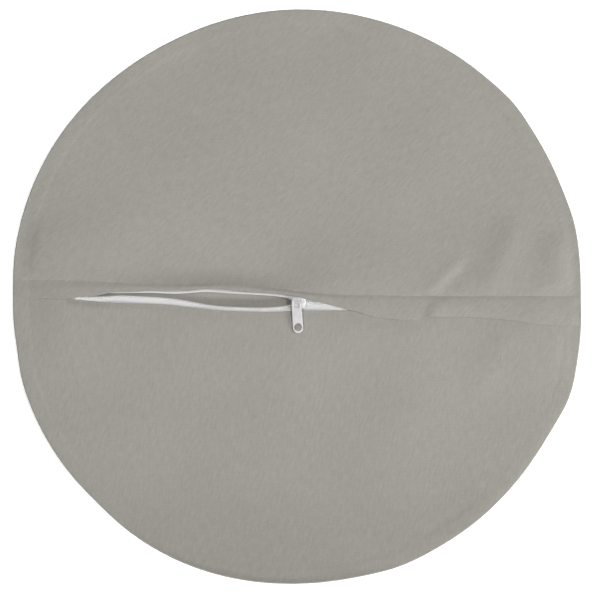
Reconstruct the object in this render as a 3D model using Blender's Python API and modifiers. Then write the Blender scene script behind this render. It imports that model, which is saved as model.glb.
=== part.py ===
# Round cushion cover, empty and lying flat with its zip side up.
# Metres, +Z up. The front panel lies on the floor at z = 0, and the zip runs across the back along X.
import math

import bmesh
import bpy
import numpy as np
from mathutils import Vector

WELD = 0.000001

# Cloth
COVER_DIAMETER = 0.400
CLOTH = 0.0006
LAYER_GAP = 0.0003
FOLD_GAP = 0.0006
SEAM_ALLOWANCE = 0.010
POCKET_HEIGHT = 0.0055
LOFT_RUN = 0.070
RIDGE_FLAT = 0.016
RIDGE_FALL = 0.029
RIDGE_MARGIN = 0.004
PLAIN_SEAM = 0.022
FLAP_INSET = 0.004
FLAP_CLIMB = 0.007
HEM_DEPTH = 0.007
SEAM_NOTCH_DEPTH = 0.0016
SEAM_NOTCH_SPREAD = math.radians(7)
THREAD = 0.00025
THREAD_GAP = 0.00015
STITCH_INSET = 0.002

# Zip: its line is tilted a little on the cover
ZIP_END_SEAM = 0.044
ZIP_Y = -0.0043
ZIP_TILT = math.radians(1.72)
TAPE_WIDTH = 0.012
TAPE_THICKNESS = 0.0005
COIL_HEIGHT = 0.0013
COIL_RAIL = 0.0011
TOOTH_LENGTH = 0.0008
TOOTH_PITCH = 0.0018
TOOTH_WIDTH = 0.0006
COIL_GAP = 0.00015
TACK_LENGTH = 0.002
TACK_WIDTH = 0.0052
TACK_HEIGHT = 0.00045
TACK_INSET = 0.002
EDGE_LEAD = 0.002
EDGE_SETTLE = 0.006
LOWER_CLOSING = 0.016
FLAP_CLOSING = 0.014

# Slider and pull tab
SLIDER_REST = 0.0013
SLIDER_LENGTH = 0.0097
SLIDER_WIDTH = 0.0078
SLIDER_NOSE_WIDTH = 0.0058
SLIDER_PLATE = 0.0008
SLIDER_FLANGE = 0.0006
SLIDER_RUN = 0.0002
SLIDER_SIDE_GAP = 0.0004
TAPE_SLOT = 0.0010
POST_WIDTH = 0.0014
POST_LENGTH = 0.0036
ARCH_WIRE = 0.0010
ARCH_SPAN = 0.0051
ARCH_LEG = -0.0018
TAB_THICKNESS = 0.0010
TAB_REACH = 0.0212
TAB_NECK_WIDTH = 0.0068
TAB_END_WIDTH = 0.0074
TAB_SIDE_WALL = 0.0010
TAB_TIP_WALL = 0.0016
TAB_TOP = 0.0025
TAB_BAR = 0.0013
TAB_RAIL = 0.0014
WINDOW_REACH = 0.0033
TAB_LEAN = math.radians(3.4)

# The zip fills the back but for a plain seam at each end.
# A drawn millimetre grows with the cover: the edges' stations and the rim's waver are given in it.
COVER_RADIUS = COVER_DIAMETER / 2
ZIP_HALF = COVER_RADIUS - ZIP_END_SEAM
DRAWN_MM = COVER_DIAMETER / 400

# Levels worked out from the layers, each the middle of its layer unless it says otherwise
LAYER = CLOTH + LAYER_GAP
TURN = (CLOTH + FOLD_GAP) * 2 / 3
FRONT_LEVEL = CLOTH / 2
FRONT_ALLOWANCE = FRONT_LEVEL + CLOTH + FOLD_GAP
BACK_ALLOWANCE = FRONT_ALLOWANCE + LAYER
RIM_TOP = BACK_ALLOWANCE + CLOTH + FOLD_GAP
LOFT_TOP = CLOTH + POCKET_HEIGHT + CLOTH / 2
TAPE_BOTTOM = CLOTH + POCKET_HEIGHT
TAPE_TOP = TAPE_BOTTOM + TAPE_THICKNESS
COIL_BOTTOM = TAPE_TOP + COIL_GAP
COIL_TOP = COIL_BOTTOM + COIL_HEIGHT
HEM_LEVEL = TAPE_TOP + LAYER_GAP + CLOTH / 2
RIDGE_TOP = HEM_LEVEL + LAYER
FLAP_RISE = 2 * LAYER + THREAD + 2 * THREAD_GAP
SLIDER_BOTTOM = TAPE_BOTTOM - SLIDER_RUN - SLIDER_PLATE
SLIDER_TOP = COIL_TOP + SLIDER_RUN + SLIDER_PLATE
TAB_BOTTOM = SLIDER_TOP + SLIDER_RUN
ARCH_AXIS = TAB_BOTTOM + TAB_THICKNESS + SLIDER_RUN + ARCH_WIRE / 2

# Reaches across the zip line
COIL_WIDTH = COIL_RAIL + TOOTH_LENGTH
CLOSED_TIP = -TOOTH_LENGTH / 2
OPEN_TIP = POST_WIDTH / 2 + COIL_GAP * 2
LOWER_REACH = SLIDER_WIDTH / 2 + CLOTH / 2 + SLIDER_SIDE_GAP
FLAP_REACH = LOWER_REACH + SLIDER_SIDE_GAP
RIDGE_RUN = ZIP_END_SEAM - RIDGE_MARGIN
PANEL_END = COVER_RADIUS - PLAIN_SEAM
FLAP_END = COVER_RADIUS - SEAM_NOTCH_DEPTH - FLAP_INSET

# How many steps each cloth is made of
PANEL_COLUMNS = 38
PANEL_ROWS = 9
FLAP_COLUMNS = 64
FRONT_SEGMENTS = 72

CLOTH_GREY = (0.352, 0.337, 0.305, 1)
ZIP_WHITE = (0.68, 0.67, 0.67, 1)
PAINT_WHITE = (0.67, 0.66, 0.64, 1)
THREAD_GREY = (0.30, 0.29, 0.26, 1)


def smooth(share):
    share = min(max(share, 0.0), 1.0)
    return share * share * (3 - 2 * share)


def through(stations, place):
    """A smooth curve through a few (place, value) stations, flat beyond the first and the last."""
    if place <= stations[0][0]:
        return stations[0][1]
    if place >= stations[-1][0]:
        return stations[-1][1]
    index = 0
    while stations[index + 1][0] < place:
        index += 1
    low = stations[index]
    high = stations[index + 1]
    before = stations[max(index - 1, 0)]
    after = stations[min(index + 2, len(stations) - 1)]
    gap = high[0] - low[0]
    slope_low = (high[1] - before[1]) / (high[0] - before[0])
    slope_high = (after[1] - low[1]) / (after[0] - low[0])
    share = (place - low[0]) / gap
    rise = share * share * (3 - 2 * share)
    lead_in = share * (1 - share) ** 2 * gap * slope_low
    lead_out = share ** 2 * (share - 1) * gap * slope_high
    return low[1] + (high[1] - low[1]) * rise + lead_in + lead_out


def drawn(*stations):
    return [(place * DRAWN_MM, value * DRAWN_MM) for place, value in stations]


# Where each edge lies across the zip line: (along the zip, across it), positive towards the upper half.
# The tips of the coils part in the open mouth, meet in the slider and stay meshed to its right.
SLIDER_ENTRY = SLIDER_REST - SLIDER_LENGTH / 2
SLIDER_EXIT = SLIDER_REST + SLIDER_LENGTH / 2
TIP_END = [(-ZIP_HALF, COIL_GAP * 3)]
TIP_MEETING = [(SLIDER_ENTRY, OPEN_TIP + COIL_GAP), (SLIDER_ENTRY + POST_LENGTH / 2, OPEN_TIP),
               (SLIDER_REST + SLIDER_LENGTH / 4, CLOSED_TIP)]
UPPER_MOUTH = drawn((-133, 2.4), (-88, 3.8), (-58, 7.0), (-44, 7.2), (-30, 6.1), (-14, 4.6))
LOWER_MOUTH = drawn((-125, -1.2), (-95, -0.8), (-78, 0.8), (-64, 3.4), (-48, 4.7), (-32, 3.9), (-14, 2.4))
UPPER_TIP = TIP_END + UPPER_MOUTH + TIP_MEETING
LOWER_TIP = TIP_END + LOWER_MOUTH + TIP_MEETING

# The fold of the lower half's hem, below the zip line
LOWER_BULGE = drawn((-88, 0), (-66, 2.0), (-46, 3.1), (-24, 2.2), (-5, 0))
LOWER_SEAM = [(-ZIP_HALF - LOWER_CLOSING, 1.9 * DRAWN_MM), (-ZIP_HALF - EDGE_LEAD, 3.2 * DRAWN_MM),
              (EDGE_SETTLE - ZIP_HALF, LOWER_REACH)]


def lower_edge(along):
    return -through(LOWER_SEAM, along) - through(LOWER_BULGE, along)


# The fold of the lap: clear of the coil on the left, over the closed chain on the right
FLAP_SEAM = [(-ZIP_HALF - FLAP_CLOSING, -0.8 * DRAWN_MM), (-ZIP_HALF - EDGE_LEAD, 3.4 * DRAWN_MM),
             (EDGE_SETTLE - ZIP_HALF, 4.0 * DRAWN_MM)]
FLAP_LEFT = drawn((-133, 5.1), (-88, 6.5), (-58, 9.7), (-44, 9.9), (-30, 8.8), (-12, 7.5))
FLAP_RIGHT = drawn((9, 3.4), (12.5, 1.6), (19, -0.6), (34.5, -4.1), (47, -7.2), (66, -9.4), (87, -9.5),
                   (95, -6.9), (127, -6.5), (150, -7.9), (170, -10.2))
FLAP_PAST_SLIDER = [(SLIDER_ENTRY, FLAP_REACH), (SLIDER_EXIT, FLAP_REACH)]
FLAP_EDGE = FLAP_SEAM + FLAP_LEFT + FLAP_PAST_SLIDER + FLAP_RIGHT
LAP_STITCH = drawn((-197, 11.0), (-150, 11.4), (-58, 12.8), (-10, 10.2), (23, 8.0), (85, 7.2), (140, 8.9),
                   (197, 10.6))


def zip_place(along, across):
    """A point of the zip's own line, in plan."""
    x = along * math.cos(ZIP_TILT) + across * math.sin(ZIP_TILT)
    y = ZIP_Y - along * math.sin(ZIP_TILT) + across * math.cos(ZIP_TILT)
    return Vector((x, y))


def across_zip(x, y):
    return x * math.sin(ZIP_TILT) + (y - ZIP_Y) * math.cos(ZIP_TILT)


def rim_radius(angle):
    """The outline: a circle that wavers a little, drawn in where the zip's seam meets the rim."""
    waver = 0.8 * math.cos(2 * angle - math.radians(108))
    waver += 0.35 * math.cos(3 * angle + math.radians(159))
    waver += 0.5 * math.cos(4 * angle + math.radians(128))
    waver += 0.4 * math.cos(7 * angle + math.radians(56))
    right = math.remainder(angle, math.tau) / SEAM_NOTCH_SPREAD
    left = math.remainder(angle - math.pi, math.tau) / SEAM_NOTCH_SPREAD
    notch = SEAM_NOTCH_DEPTH * (math.exp(-right * right) + math.exp(-left * left))
    return COVER_RADIUS + waver * DRAWN_MM - notch


def outline_middle():
    turns = np.linspace(0, math.tau, 720, endpoint=False)
    xs = [rim_radius(turn) * math.cos(turn) for turn in turns]
    ys = [rim_radius(turn) * math.sin(turn) for turn in turns]
    return Vector(((max(xs) + min(xs)) / 2, (max(ys) + min(ys)) / 2))


MIDDLE = outline_middle()


def rim_place(angle, inset):
    reach = rim_radius(angle) - inset
    return Vector((reach * math.cos(angle), reach * math.sin(angle))) - MIDDLE


def rim_depth(x, y):
    point = Vector((x, y)) + MIDDLE
    return rim_radius(math.atan2(point.y, point.x)) - point.length


def back_level(x, y):
    """Middle of the back's top layer: low at the rim, lofted inside, highest along the zip."""
    depth = rim_depth(x, y)
    loft = RIM_TOP + (LOFT_TOP - RIM_TOP) * smooth(depth / LOFT_RUN)
    beside = abs(across_zip(x, y)) - RIDGE_FLAT
    ridge = smooth(1 - beside / RIDGE_FALL) * smooth(depth / RIDGE_RUN)
    return loft + (RIDGE_TOP - loft) * ridge


def on_back(point):
    return Vector((point.x, point.y, back_level(point.x, point.y)))


def finish(item, color, roughness, metallic=0.0):
    material = bpy.data.materials.new(item.name)
    material.use_nodes = True
    shader = material.node_tree.nodes["Principled BSDF"]
    shader.inputs["Base Color"].default_value = color
    shader.inputs["Roughness"].default_value = roughness
    shader.inputs["Metallic"].default_value = metallic
    item.data.materials.append(material)
    parts.objects.link(item)
    return item


def cloth_sheet(name, columns, rows, place):
    """A sheet of cloth: a grid whose corners place() puts in space, welded and thickened on both sides."""
    grid = bmesh.new()
    bmesh.ops.create_grid(grid, x_segments=columns, y_segments=rows, size=1.0)
    for corner in grid.verts:
        column = round((corner.co.x + 1) / 2 * columns)
        row = round((corner.co.y + 1) / 2 * rows)
        corner.co = place(column, row)
    bmesh.ops.remove_doubles(grid, verts=grid.verts, dist=WELD)
    mesh = bpy.data.meshes.new(name)
    grid.to_mesh(mesh)
    grid.free()
    mesh.shade_smooth()
    item = bpy.data.objects.new(name, mesh)
    shell = item.modifiers.new("cloth", "SOLIDIFY")
    shell.thickness = CLOTH
    shell.offset = 0
    return finish(item, CLOTH_GREY, 0.95)


def rim_turn(angle, step):
    """The back's edge beyond its top layer: round the rim and in again as the seam allowance."""
    inset = (0, TURN, SEAM_ALLOWANCE)[step]
    level = ((RIM_TOP + BACK_ALLOWANCE) / 2, BACK_ALLOWANCE, BACK_ALLOWANCE)[step]
    point = rim_place(angle, inset)
    return Vector((point.x, point.y, level))


def spread(step, steps):
    """Steps that lie closer together at both ends."""
    return 0.5 - 0.5 * math.cos(math.pi * step / steps)


def seam_angle(along, across):
    point = zip_place(along, across) + MIDDLE
    return math.atan2(point.y, point.x) % math.tau


def front_panel():
    """A disc that turns up and in at the rim, made of rings from its middle to the allowance's end."""
    insets = (COVER_RADIUS * 0.45, SEAM_ALLOWANCE + TURN, TURN, 0, TURN, SEAM_ALLOWANCE)
    turned = (FRONT_LEVEL + FRONT_ALLOWANCE) / 2
    levels = (FRONT_LEVEL, FRONT_LEVEL, FRONT_LEVEL, turned, FRONT_ALLOWANCE, FRONT_ALLOWANCE)

    def place(column, row):
        if row == 0:
            return Vector((0, 0, FRONT_LEVEL))
        point = rim_place(math.tau * column / FRONT_SEGMENTS, insets[row - 1])
        return Vector((point.x, point.y, levels[row - 1]))

    return cloth_sheet("front_panel", FRONT_SEGMENTS, len(insets), place)


def back_upper_panel():
    """From the lap's stitch line over the loft to the rim, where it turns down and in."""
    half_gap = LAYER_GAP / 2
    first = seam_angle(COVER_RADIUS, through(LAP_STITCH, COVER_RADIUS) + half_gap)
    first = math.remainder(first, math.tau)
    last = seam_angle(-COVER_RADIUS, through(LAP_STITCH, -COVER_RADIUS) + half_gap)

    def place(column, row):
        share = column / PANEL_COLUMNS
        angle = first + (last - first) * share
        if row > PANEL_ROWS:
            return rim_turn(angle, row - PANEL_ROWS - 1)
        along = PANEL_END * (1 - 2 * share)
        edge = zip_place(along, through(LAP_STITCH, along) + half_gap)
        return on_back(edge.lerp(rim_place(angle, TURN), spread(row, PANEL_ROWS)))

    return cloth_sheet("back_upper_panel", PANEL_COLUMNS, PANEL_ROWS + 3, place)


def back_lower_panel():
    """From the hem beside the zip over the loft to the rim. The hem is folded under along its edge."""
    first = seam_angle(-COVER_RADIUS, lower_edge(-COVER_RADIUS))
    last = seam_angle(COVER_RADIUS, lower_edge(COVER_RADIUS))
    hem_rows = 3

    def place(column, row):
        share = column / PANEL_COLUMNS
        angle = first + (last - first) * share
        if row > PANEL_ROWS + hem_rows:
            return rim_turn(angle, row - PANEL_ROWS - hem_rows - 1)
        along = PANEL_END * (2 * share - 1)
        edge = zip_place(along, lower_edge(along))
        rim = rim_place(angle, TURN)
        inward = (rim - edge).normalized()
        if row < hem_rows:
            inset = (HEM_DEPTH, TURN, 0)[row]
            drop = (LAYER, LAYER, LAYER / 2)[row]
            return on_back(edge + inward * inset) - Vector((0, 0, drop))
        start = edge + inward * TURN
        return on_back(start.lerp(rim, spread(row - hem_rows, PANEL_ROWS)))

    return cloth_sheet("back_lower_panel", PANEL_COLUMNS, PANEL_ROWS + hem_rows + 3, place)


def lap_flap():
    """The lap: from its stitch line to a fold and back underneath. It climbs over the closed chain."""
    shares = (0, 0.2, 0.4, 0.7, 1, 1, 1, 0.7, 0.45)
    fold_row = 5

    def place(column, row):
        along = FLAP_END * (2 * column / FLAP_COLUMNS - 1)
        stitch = through(LAP_STITCH, along) - LAYER_GAP / 2
        fold = through(FLAP_EDGE, along)
        width = stitch - fold
        reach = shares[row] * width
        if row in (fold_row - 1, fold_row + 1):
            reach -= TURN
        point = zip_place(along, stitch - reach)
        over_chain = smooth((along - SLIDER_EXIT) / FLAP_CLIMB)
        climb = FLAP_RISE * over_chain * smooth(reach / width / 0.4)
        drop = 0
        if row == fold_row:
            drop = LAYER / 2
        if row > fold_row:
            drop = LAYER
        return on_back(point) + Vector((0, 0, climb - drop))

    return cloth_sheet("lap_flap", FLAP_COLUMNS, len(shares) - 1, place)


def prism(name, outlines, low, high):
    """A flat outline, with any holes, given a thickness and made one closed mesh."""
    curve = bpy.data.curves.new(name, "CURVE")
    curve.dimensions = "2D"
    curve.fill_mode = "BOTH"
    curve.extrude = (high - low) / 2
    for outline in outlines:
        spline = curve.splines.new("POLY")
        spline.points.add(len(outline) - 1)
        for point, corner in zip(spline.points, outline):
            point.co = (corner[0], corner[1], (low + high) / 2, 1)
        spline.use_cyclic_u = True
    return closed_mesh(name, curve)


def closed_mesh(name, curve):
    """The curve's own surface as one closed mesh object, with its loose caps welded on."""
    drawn = bpy.data.objects.new(name, curve)
    bpy.context.scene.collection.objects.link(drawn)
    graph = bpy.context.evaluated_depsgraph_get()
    mesh = bpy.data.meshes.new_from_object(drawn.evaluated_get(graph))
    bpy.data.objects.remove(drawn)
    bpy.data.curves.remove(curve)
    welded = bmesh.new()
    welded.from_mesh(mesh)
    bmesh.ops.remove_doubles(welded, verts=welded.verts, dist=WELD)
    bmesh.ops.recalc_face_normals(welded, faces=welded.faces)
    welded.to_mesh(mesh)
    welded.free()
    return bpy.data.objects.new(name, mesh)


def wire(name, route, thickness, sides):
    """A round wire along a route, as a curve."""
    curve = bpy.data.curves.new(name, "CURVE")
    curve.dimensions = "3D"
    curve.bevel_depth = thickness / 2
    curve.bevel_resolution = sides
    curve.use_fill_caps = True
    spline = curve.splines.new("POLY")
    spline.points.add(len(route) - 1)
    for point, spot in zip(spline.points, route):
        point.co = (spot[0], spot[1], spot[2], 1)
    return curve


def tip_line(stations, side, start, end, step):
    """Points along one coil's tooth tips and the way its teeth point, evenly spaced from the closed end."""
    fine = 0.0001
    places = np.arange(start, end, -fine)
    across = np.array([side * through(stations, place) for place in places])
    lengths = np.concatenate(([0], np.cumsum(np.hypot(np.diff(places), np.diff(across)))))
    marks = np.arange(0, lengths[-1], step)
    along = np.interp(marks, lengths, places)
    beside = np.interp(marks, lengths, across)
    ahead = np.gradient(along), np.gradient(beside)
    stride = np.hypot(*ahead)
    lead = ahead[0] / stride, ahead[1] / stride
    return along, beside, -side * lead[1], side * lead[0]


def on_zip(item):
    item.location = (0, ZIP_Y, 0)
    item.rotation_euler = (0, 0, -ZIP_TILT)
    return item


def zip_tape(name, stations, side):
    along, beside, out_x, out_y = tip_line(stations, side, ZIP_HALF, -ZIP_HALF, 0.004)
    inner = list(zip(along - out_x * TOOTH_LENGTH, beside - out_y * TOOTH_LENGTH))
    outer = list(zip(along, beside + side * (TOOTH_LENGTH + TAPE_WIDTH)))
    tape = prism(name, [inner + outer[::-1]], TAPE_BOTTOM, TAPE_TOP)
    return finish(on_zip(tape), ZIP_WHITE, 0.85)


def zip_coil(name, stations, side):
    """One row of coil loops as a comb: a rail on the tape with one tooth for each loop."""
    offset = 0 if side > 0 else TOOTH_PITCH / 2
    step = TOOTH_PITCH / 4
    along, beside, out_x, out_y = tip_line(stations, side, ZIP_HALF, -ZIP_HALF, step)

    def at(index, depth):
        return (along[index] - out_x[index] * depth, beside[index] - out_y[index] * depth)

    first = 2 + round(offset / step)
    teeth = range(first, len(along) - 3, 4)
    half = TOOTH_WIDTH / 2
    comb = []
    for index in teeth:
        lead = Vector((out_y[index], -out_x[index])) * half * side
        root = Vector(at(index, TOOTH_LENGTH))
        tip = Vector(at(index, 0))
        comb += [root - lead, tip - lead * 0.7, tip + lead * 0.7, root + lead]
    back = [at(index, COIL_WIDTH) for index in (*range(first - 1, teeth[-1], 8), teeth[-1] + 1)]
    coil = prism(name, [comb + back[::-1]], COIL_BOTTOM, COIL_TOP)
    return finish(on_zip(coil), ZIP_WHITE, 0.5)


def arc(middle, radius, start, end, steps):
    points = []
    for step in range(steps + 1):
        angle = math.radians(start + (end - start) * step / steps)
        points.append((middle[0] + radius * math.cos(angle), middle[1] + radius * math.sin(angle)))
    return points


def mirrored(upper):
    """An outline from its upper half, given from left to right."""
    return upper + [(x, -y) for x, y in reversed(upper)]


def cut(item, cutter, operation="DIFFERENCE"):
    cutters.objects.link(cutter)
    cutter.hide_render = True
    cutter.display_type = "WIRE"
    cutter.location = item.location
    cutter.rotation_euler = item.rotation_euler
    boolean = item.modifiers.new(cutter.name, "BOOLEAN")
    boolean.operation = operation
    boolean.solver = "EXACT"
    boolean.object = cutter


def arch_tube():
    """The arch over the slider's top plate, one bent wire from plate to plate."""
    right = ARCH_LEG + ARCH_SPAN
    foot = SLIDER_TOP - SLIDER_PLATE / 2
    bend = ARCH_WIRE / 2
    route = [(ARCH_LEG, foot), (ARCH_LEG, ARCH_AXIS - bend), (ARCH_LEG + bend * 0.3, ARCH_AXIS - bend * 0.3)]
    route += [(ARCH_LEG + bend, ARCH_AXIS), (right - bend, ARCH_AXIS)]
    route += [(right - bend * 0.3, ARCH_AXIS - bend * 0.3), (right, ARCH_AXIS - bend), (right, foot)]
    return closed_mesh("arch", wire("arch", [(along, 0, level) for along, level in route], ARCH_WIRE, 2))


def slider_body():
    """Two plates joined by a post, with flanges beside the chain and an arch for the pull tab."""
    half = SLIDER_LENGTH / 2
    wide = SLIDER_WIDTH / 2
    nose = SLIDER_NOSE_WIDTH / 2
    shield = mirrored([(-half, wide * 0.6), (-half * 0.86, wide), (half * 0.1, wide), (half * 0.9, nose),
                       (half, nose * 0.8)])
    start = SLIDER_PLATE / 2 - half
    post = mirrored([(start, POST_WIDTH / 5), (start + POST_LENGTH / 6, POST_WIDTH / 2),
                     (start + POST_LENGTH * 0.45, POST_WIDTH / 2), (start + POST_LENGTH, POST_WIDTH / 10)])
    past = half + SLIDER_PLATE
    channel = mirrored([(-past, wide - SLIDER_FLANGE), (half * 0.1, wide - SLIDER_FLANGE),
                        (half * 0.9, nose - SLIDER_FLANGE), (past, nose - SLIDER_FLANGE)])
    slot = mirrored([(-past, wide + SLIDER_PLATE), (past, wide + SLIDER_PLATE)])
    body = prism("slider_body", [shield], SLIDER_BOTTOM, SLIDER_TOP)
    spot = zip_place(SLIDER_REST, 0)
    body.location = (spot.x, spot.y, 0)
    body.rotation_euler = (0, 0, -ZIP_TILT)
    rounding = body.modifiers.new("rounded", "BEVEL")
    rounding.width = SLIDER_PLATE / 3
    rounding.segments = 1
    rounding.limit_method = "ANGLE"
    floor = SLIDER_BOTTOM + SLIDER_PLATE
    cut(body, prism("chain_channel", [channel, post], floor, SLIDER_TOP - SLIDER_PLATE))
    cut(body, prism("tape_slot", [slot, post], floor, floor + TAPE_SLOT))
    cut(body, arch_tube(), "UNION")
    return finish(body, PAINT_WHITE, 0.4, 0.0)


def pull_tab():
    """A flat tab with a window that goes round the arch's left leg and a round hole at its end."""
    neck = TAB_NECK_WIDTH / 2
    end = TAB_END_WIDTH / 2
    corner = TAB_BAR
    outline = arc((neck - corner, TAB_TOP - corner), corner, 0, 90, 4)
    outline += arc((corner - neck, TAB_TOP - corner), corner, 90, 180, 4)
    outline += arc((0, end - TAB_REACH), end, 180, 360, 16)
    inside = neck - TAB_RAIL
    small = TAB_RAIL / 2
    top = TAB_TOP - TAB_BAR
    window = arc((inside - small, top - small), small, 0, 90, 3)
    window += arc((small - inside, top - small), small, 90, 180, 3)
    window += arc((small - inside, small - WINDOW_REACH), small, 180, 270, 3)
    window += arc((inside - small, small - WINDOW_REACH), small, 270, 360, 3)
    round_hole = end - TAB_SIDE_WALL
    hole = arc((0, TAB_TIP_WALL + round_hole - TAB_REACH), round_hole, 0, 345, 23)
    tab = prism("pull_tab", [outline, window, hole], TAB_BOTTOM, TAB_BOTTOM + TAB_THICKNESS)
    spot = zip_place(SLIDER_REST + ARCH_LEG, 0)
    tab.location = (spot.x, spot.y, 0)
    tab.rotation_euler = (0, 0, TAB_LEAN)
    return finish(tab, PAINT_WHITE, 0.35)


def thread(name, route, closed=False):
    curve = wire(name, route, THREAD, 1)
    curve.splines[0].use_cyclic_u = closed
    curve.use_fill_caps = not closed
    return finish(bpy.data.objects.new(name, curve), THREAD_GREY, 0.8)


def above_back(point):
    """A thread's middle, lying on the back's top layer."""
    return on_back(point) + Vector((0, 0, CLOTH / 2 + THREAD_GAP + THREAD / 2))


def rim_seam_thread():
    level = (FRONT_ALLOWANCE + BACK_ALLOWANCE) / 2
    route = []
    for step in range(90):
        point = rim_place(math.tau * step / 90, TURN / 4)
        route.append((point.x, point.y, level))
    return thread("rim_seam_thread", route, closed=True)


def lap_stitch_thread():
    places = np.linspace(-ZIP_HALF, ZIP_HALF, 61)
    inset = THREAD + LAYER_GAP
    route = [above_back(zip_place(place, through(LAP_STITCH, place) + inset)) for place in places]
    return thread("lap_stitch_thread", route)


def lower_stitch_thread():
    places = np.linspace(-ZIP_HALF, ZIP_HALF, 61)
    route = [above_back(zip_place(place, lower_edge(place) - STITCH_INSET)) for place in places]
    return thread("lower_stitch_thread", route)


def end_seam_thread(name, side):
    places = np.linspace(ZIP_HALF + STITCH_INSET, PANEL_END, 9) * side
    route = [above_back(zip_place(place, lower_edge(place) - STITCH_INSET / 2)) for place in places]
    return thread(name, route)


def zip_end_tack(name, side):
    """A bar of close stitches over the chain, which holds the zip's end and stops the slider."""
    middle = side * (ZIP_HALF - TACK_INSET - TACK_LENGTH / 2)
    half = TACK_LENGTH / 2
    wide = TACK_WIDTH / 2
    bar = arc((middle, wide - half), half, 0, 180, 6) + arc((middle, half - wide), half, 180, 360, 6)
    tack = prism(name, [bar], COIL_TOP + COIL_GAP, COIL_TOP + COIL_GAP + TACK_HEIGHT)
    return finish(on_zip(tack), THREAD_GREY, 0.8)


for leftover in list(bpy.data.objects):
    bpy.data.objects.remove(leftover)
parts = bpy.data.collections.new("round_cushion_cover")
cutters = bpy.data.collections.new("cutters")
bpy.context.scene.collection.children.link(parts)
bpy.context.scene.collection.children.link(cutters)

front_panel()
back_upper_panel()
back_lower_panel()
lap_flap()
zip_tape("zip_tape_upper", UPPER_TIP, 1)
zip_tape("zip_tape_lower", LOWER_TIP, -1)
zip_coil("zip_coil_upper", UPPER_TIP, 1)
zip_coil("zip_coil_lower", LOWER_TIP, -1)
slider_body()
pull_tab()
zip_end_tack("zip_end_tack_left", -1)
zip_end_tack("zip_end_tack_right", 1)
rim_seam_thread()
lap_stitch_thread()
lower_stitch_thread()
end_seam_thread("end_seam_thread_left", -1)
end_seam_thread("end_seam_thread_right", 1)
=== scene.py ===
import math

import bmesh
import bpy
import numpy as np
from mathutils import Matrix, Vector


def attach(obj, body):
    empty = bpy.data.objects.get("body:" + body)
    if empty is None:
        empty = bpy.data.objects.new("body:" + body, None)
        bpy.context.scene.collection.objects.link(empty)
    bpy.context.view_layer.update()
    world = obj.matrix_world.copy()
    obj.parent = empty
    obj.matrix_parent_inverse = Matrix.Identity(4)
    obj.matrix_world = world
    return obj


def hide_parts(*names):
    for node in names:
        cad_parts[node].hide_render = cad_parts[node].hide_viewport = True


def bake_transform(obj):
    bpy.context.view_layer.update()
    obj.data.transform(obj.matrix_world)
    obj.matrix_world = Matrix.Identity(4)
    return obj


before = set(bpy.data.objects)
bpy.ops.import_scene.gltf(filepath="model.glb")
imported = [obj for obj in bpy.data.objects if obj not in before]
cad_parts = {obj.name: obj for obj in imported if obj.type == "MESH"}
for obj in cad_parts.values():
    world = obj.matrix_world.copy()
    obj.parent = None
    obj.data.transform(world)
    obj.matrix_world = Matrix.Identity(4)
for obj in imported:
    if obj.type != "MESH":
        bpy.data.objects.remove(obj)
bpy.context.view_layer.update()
print("frame loaded:", len(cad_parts), "nodes")

mm = 0.001


# Shared shape of the cover

cover = {
    "radius": 200.0,
    "cloth": 0.36,  # thickness of one layer
    "frontLevel": 0.3,  # middle of the layer on the floor
    "frontAllowance": 1.5,
    "backAllowance": 2.4,
    "rimTop": 4.2,
    "loftTop": 6.4,
    "loftRun": 90.0,
    "ridgeTop": 8.1,  # middle of the back's top layer beside the zip
    "ridgeFlat": 16.0,
    "ridgeFall": 58.0,
    "ridgeRun": 40.0,
    "turn": 0.8,  # how far the rim's fold reaches in
    "allowance": 10.0,
    "allowanceWander": 0.25,  # its cut edge wanders and ripples
    "allowanceRipple": 0.05,
    "rimWaver": [(2, 0.8, -108), (3, 0.35, 159), (4, 0.5, 128), (7, 0.4, 56)],  # waves: count, height, phase
    "notch": 1.6,  # the rim is drawn in at the ends of the zip's seam
    "notchSpread": math.radians(7),
    "rimSwells": [(340, 6, 2.3), (190, 5.5, -1.6), (15, 5, 0.9), (42, 5, 1.0), (291, 6, 1.0),
                  (226, 7, -0.9)],  # where the edge was pulled out or in: direction, spread, depth
    "rimStep": 0.22,  # the allowance inside shows as a low step
    "stepEnd": 8.6,
    "stepRun": 3.0,
    "pucker": 0.13,  # the seam draws up small puckers
    "finePucker": 0.09,
    "puckerRun": 6.0,
    "calm": 16.0,  # the creases die away over this width at the rim
    "rimRoll": 5.0,  # the edge rounds off, or curls up, over this width
    "rimLift": [(205, 0.0), (230, 2.0), (250, 2.7), (268, 2.5), (290, 0.9), (305, 0.0)],  # by direction
    "liftRun": 64.0,  # the near edge curls up a little over this width
    "rimDrop": [(0, -0.15), (20, -0.1), (40, 0.3), (60, -0.1), (80, -0.1), (100, 0.1), (120, -0.1),
                (140, 0.3), (160, -0.2), (180, 0.2), (200, 0.2), (220, 0.6), (240, -1.5), (260, -1.5),
                (280, -0.8), (300, 0.3), (320, 0.45), (340, 0.2), (360, -0.15)],  # by direction
    "foldSteps": 8,
    "stitchPitch": 3.2,
}

zipLine = {
    "y": -4.3,
    "tilt": math.radians(1.72),
    "half": 156.0,
    "middle": 1.3,  # the slider's middle at rest, where two lengths of the lap, the tapes and the chain meet
    "entry": -3.55,  # the slider's two ends along the zip
    "exit": 6.15,
    "held": 175.0,  # a place along the zip's line, towards the rim
}


def smooth(share):
    share = np.clip(share, 0.0, 1.0)
    return share * share * (3 - 2 * share)


def bell(off):
    return np.exp(-off ** 2)


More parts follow.
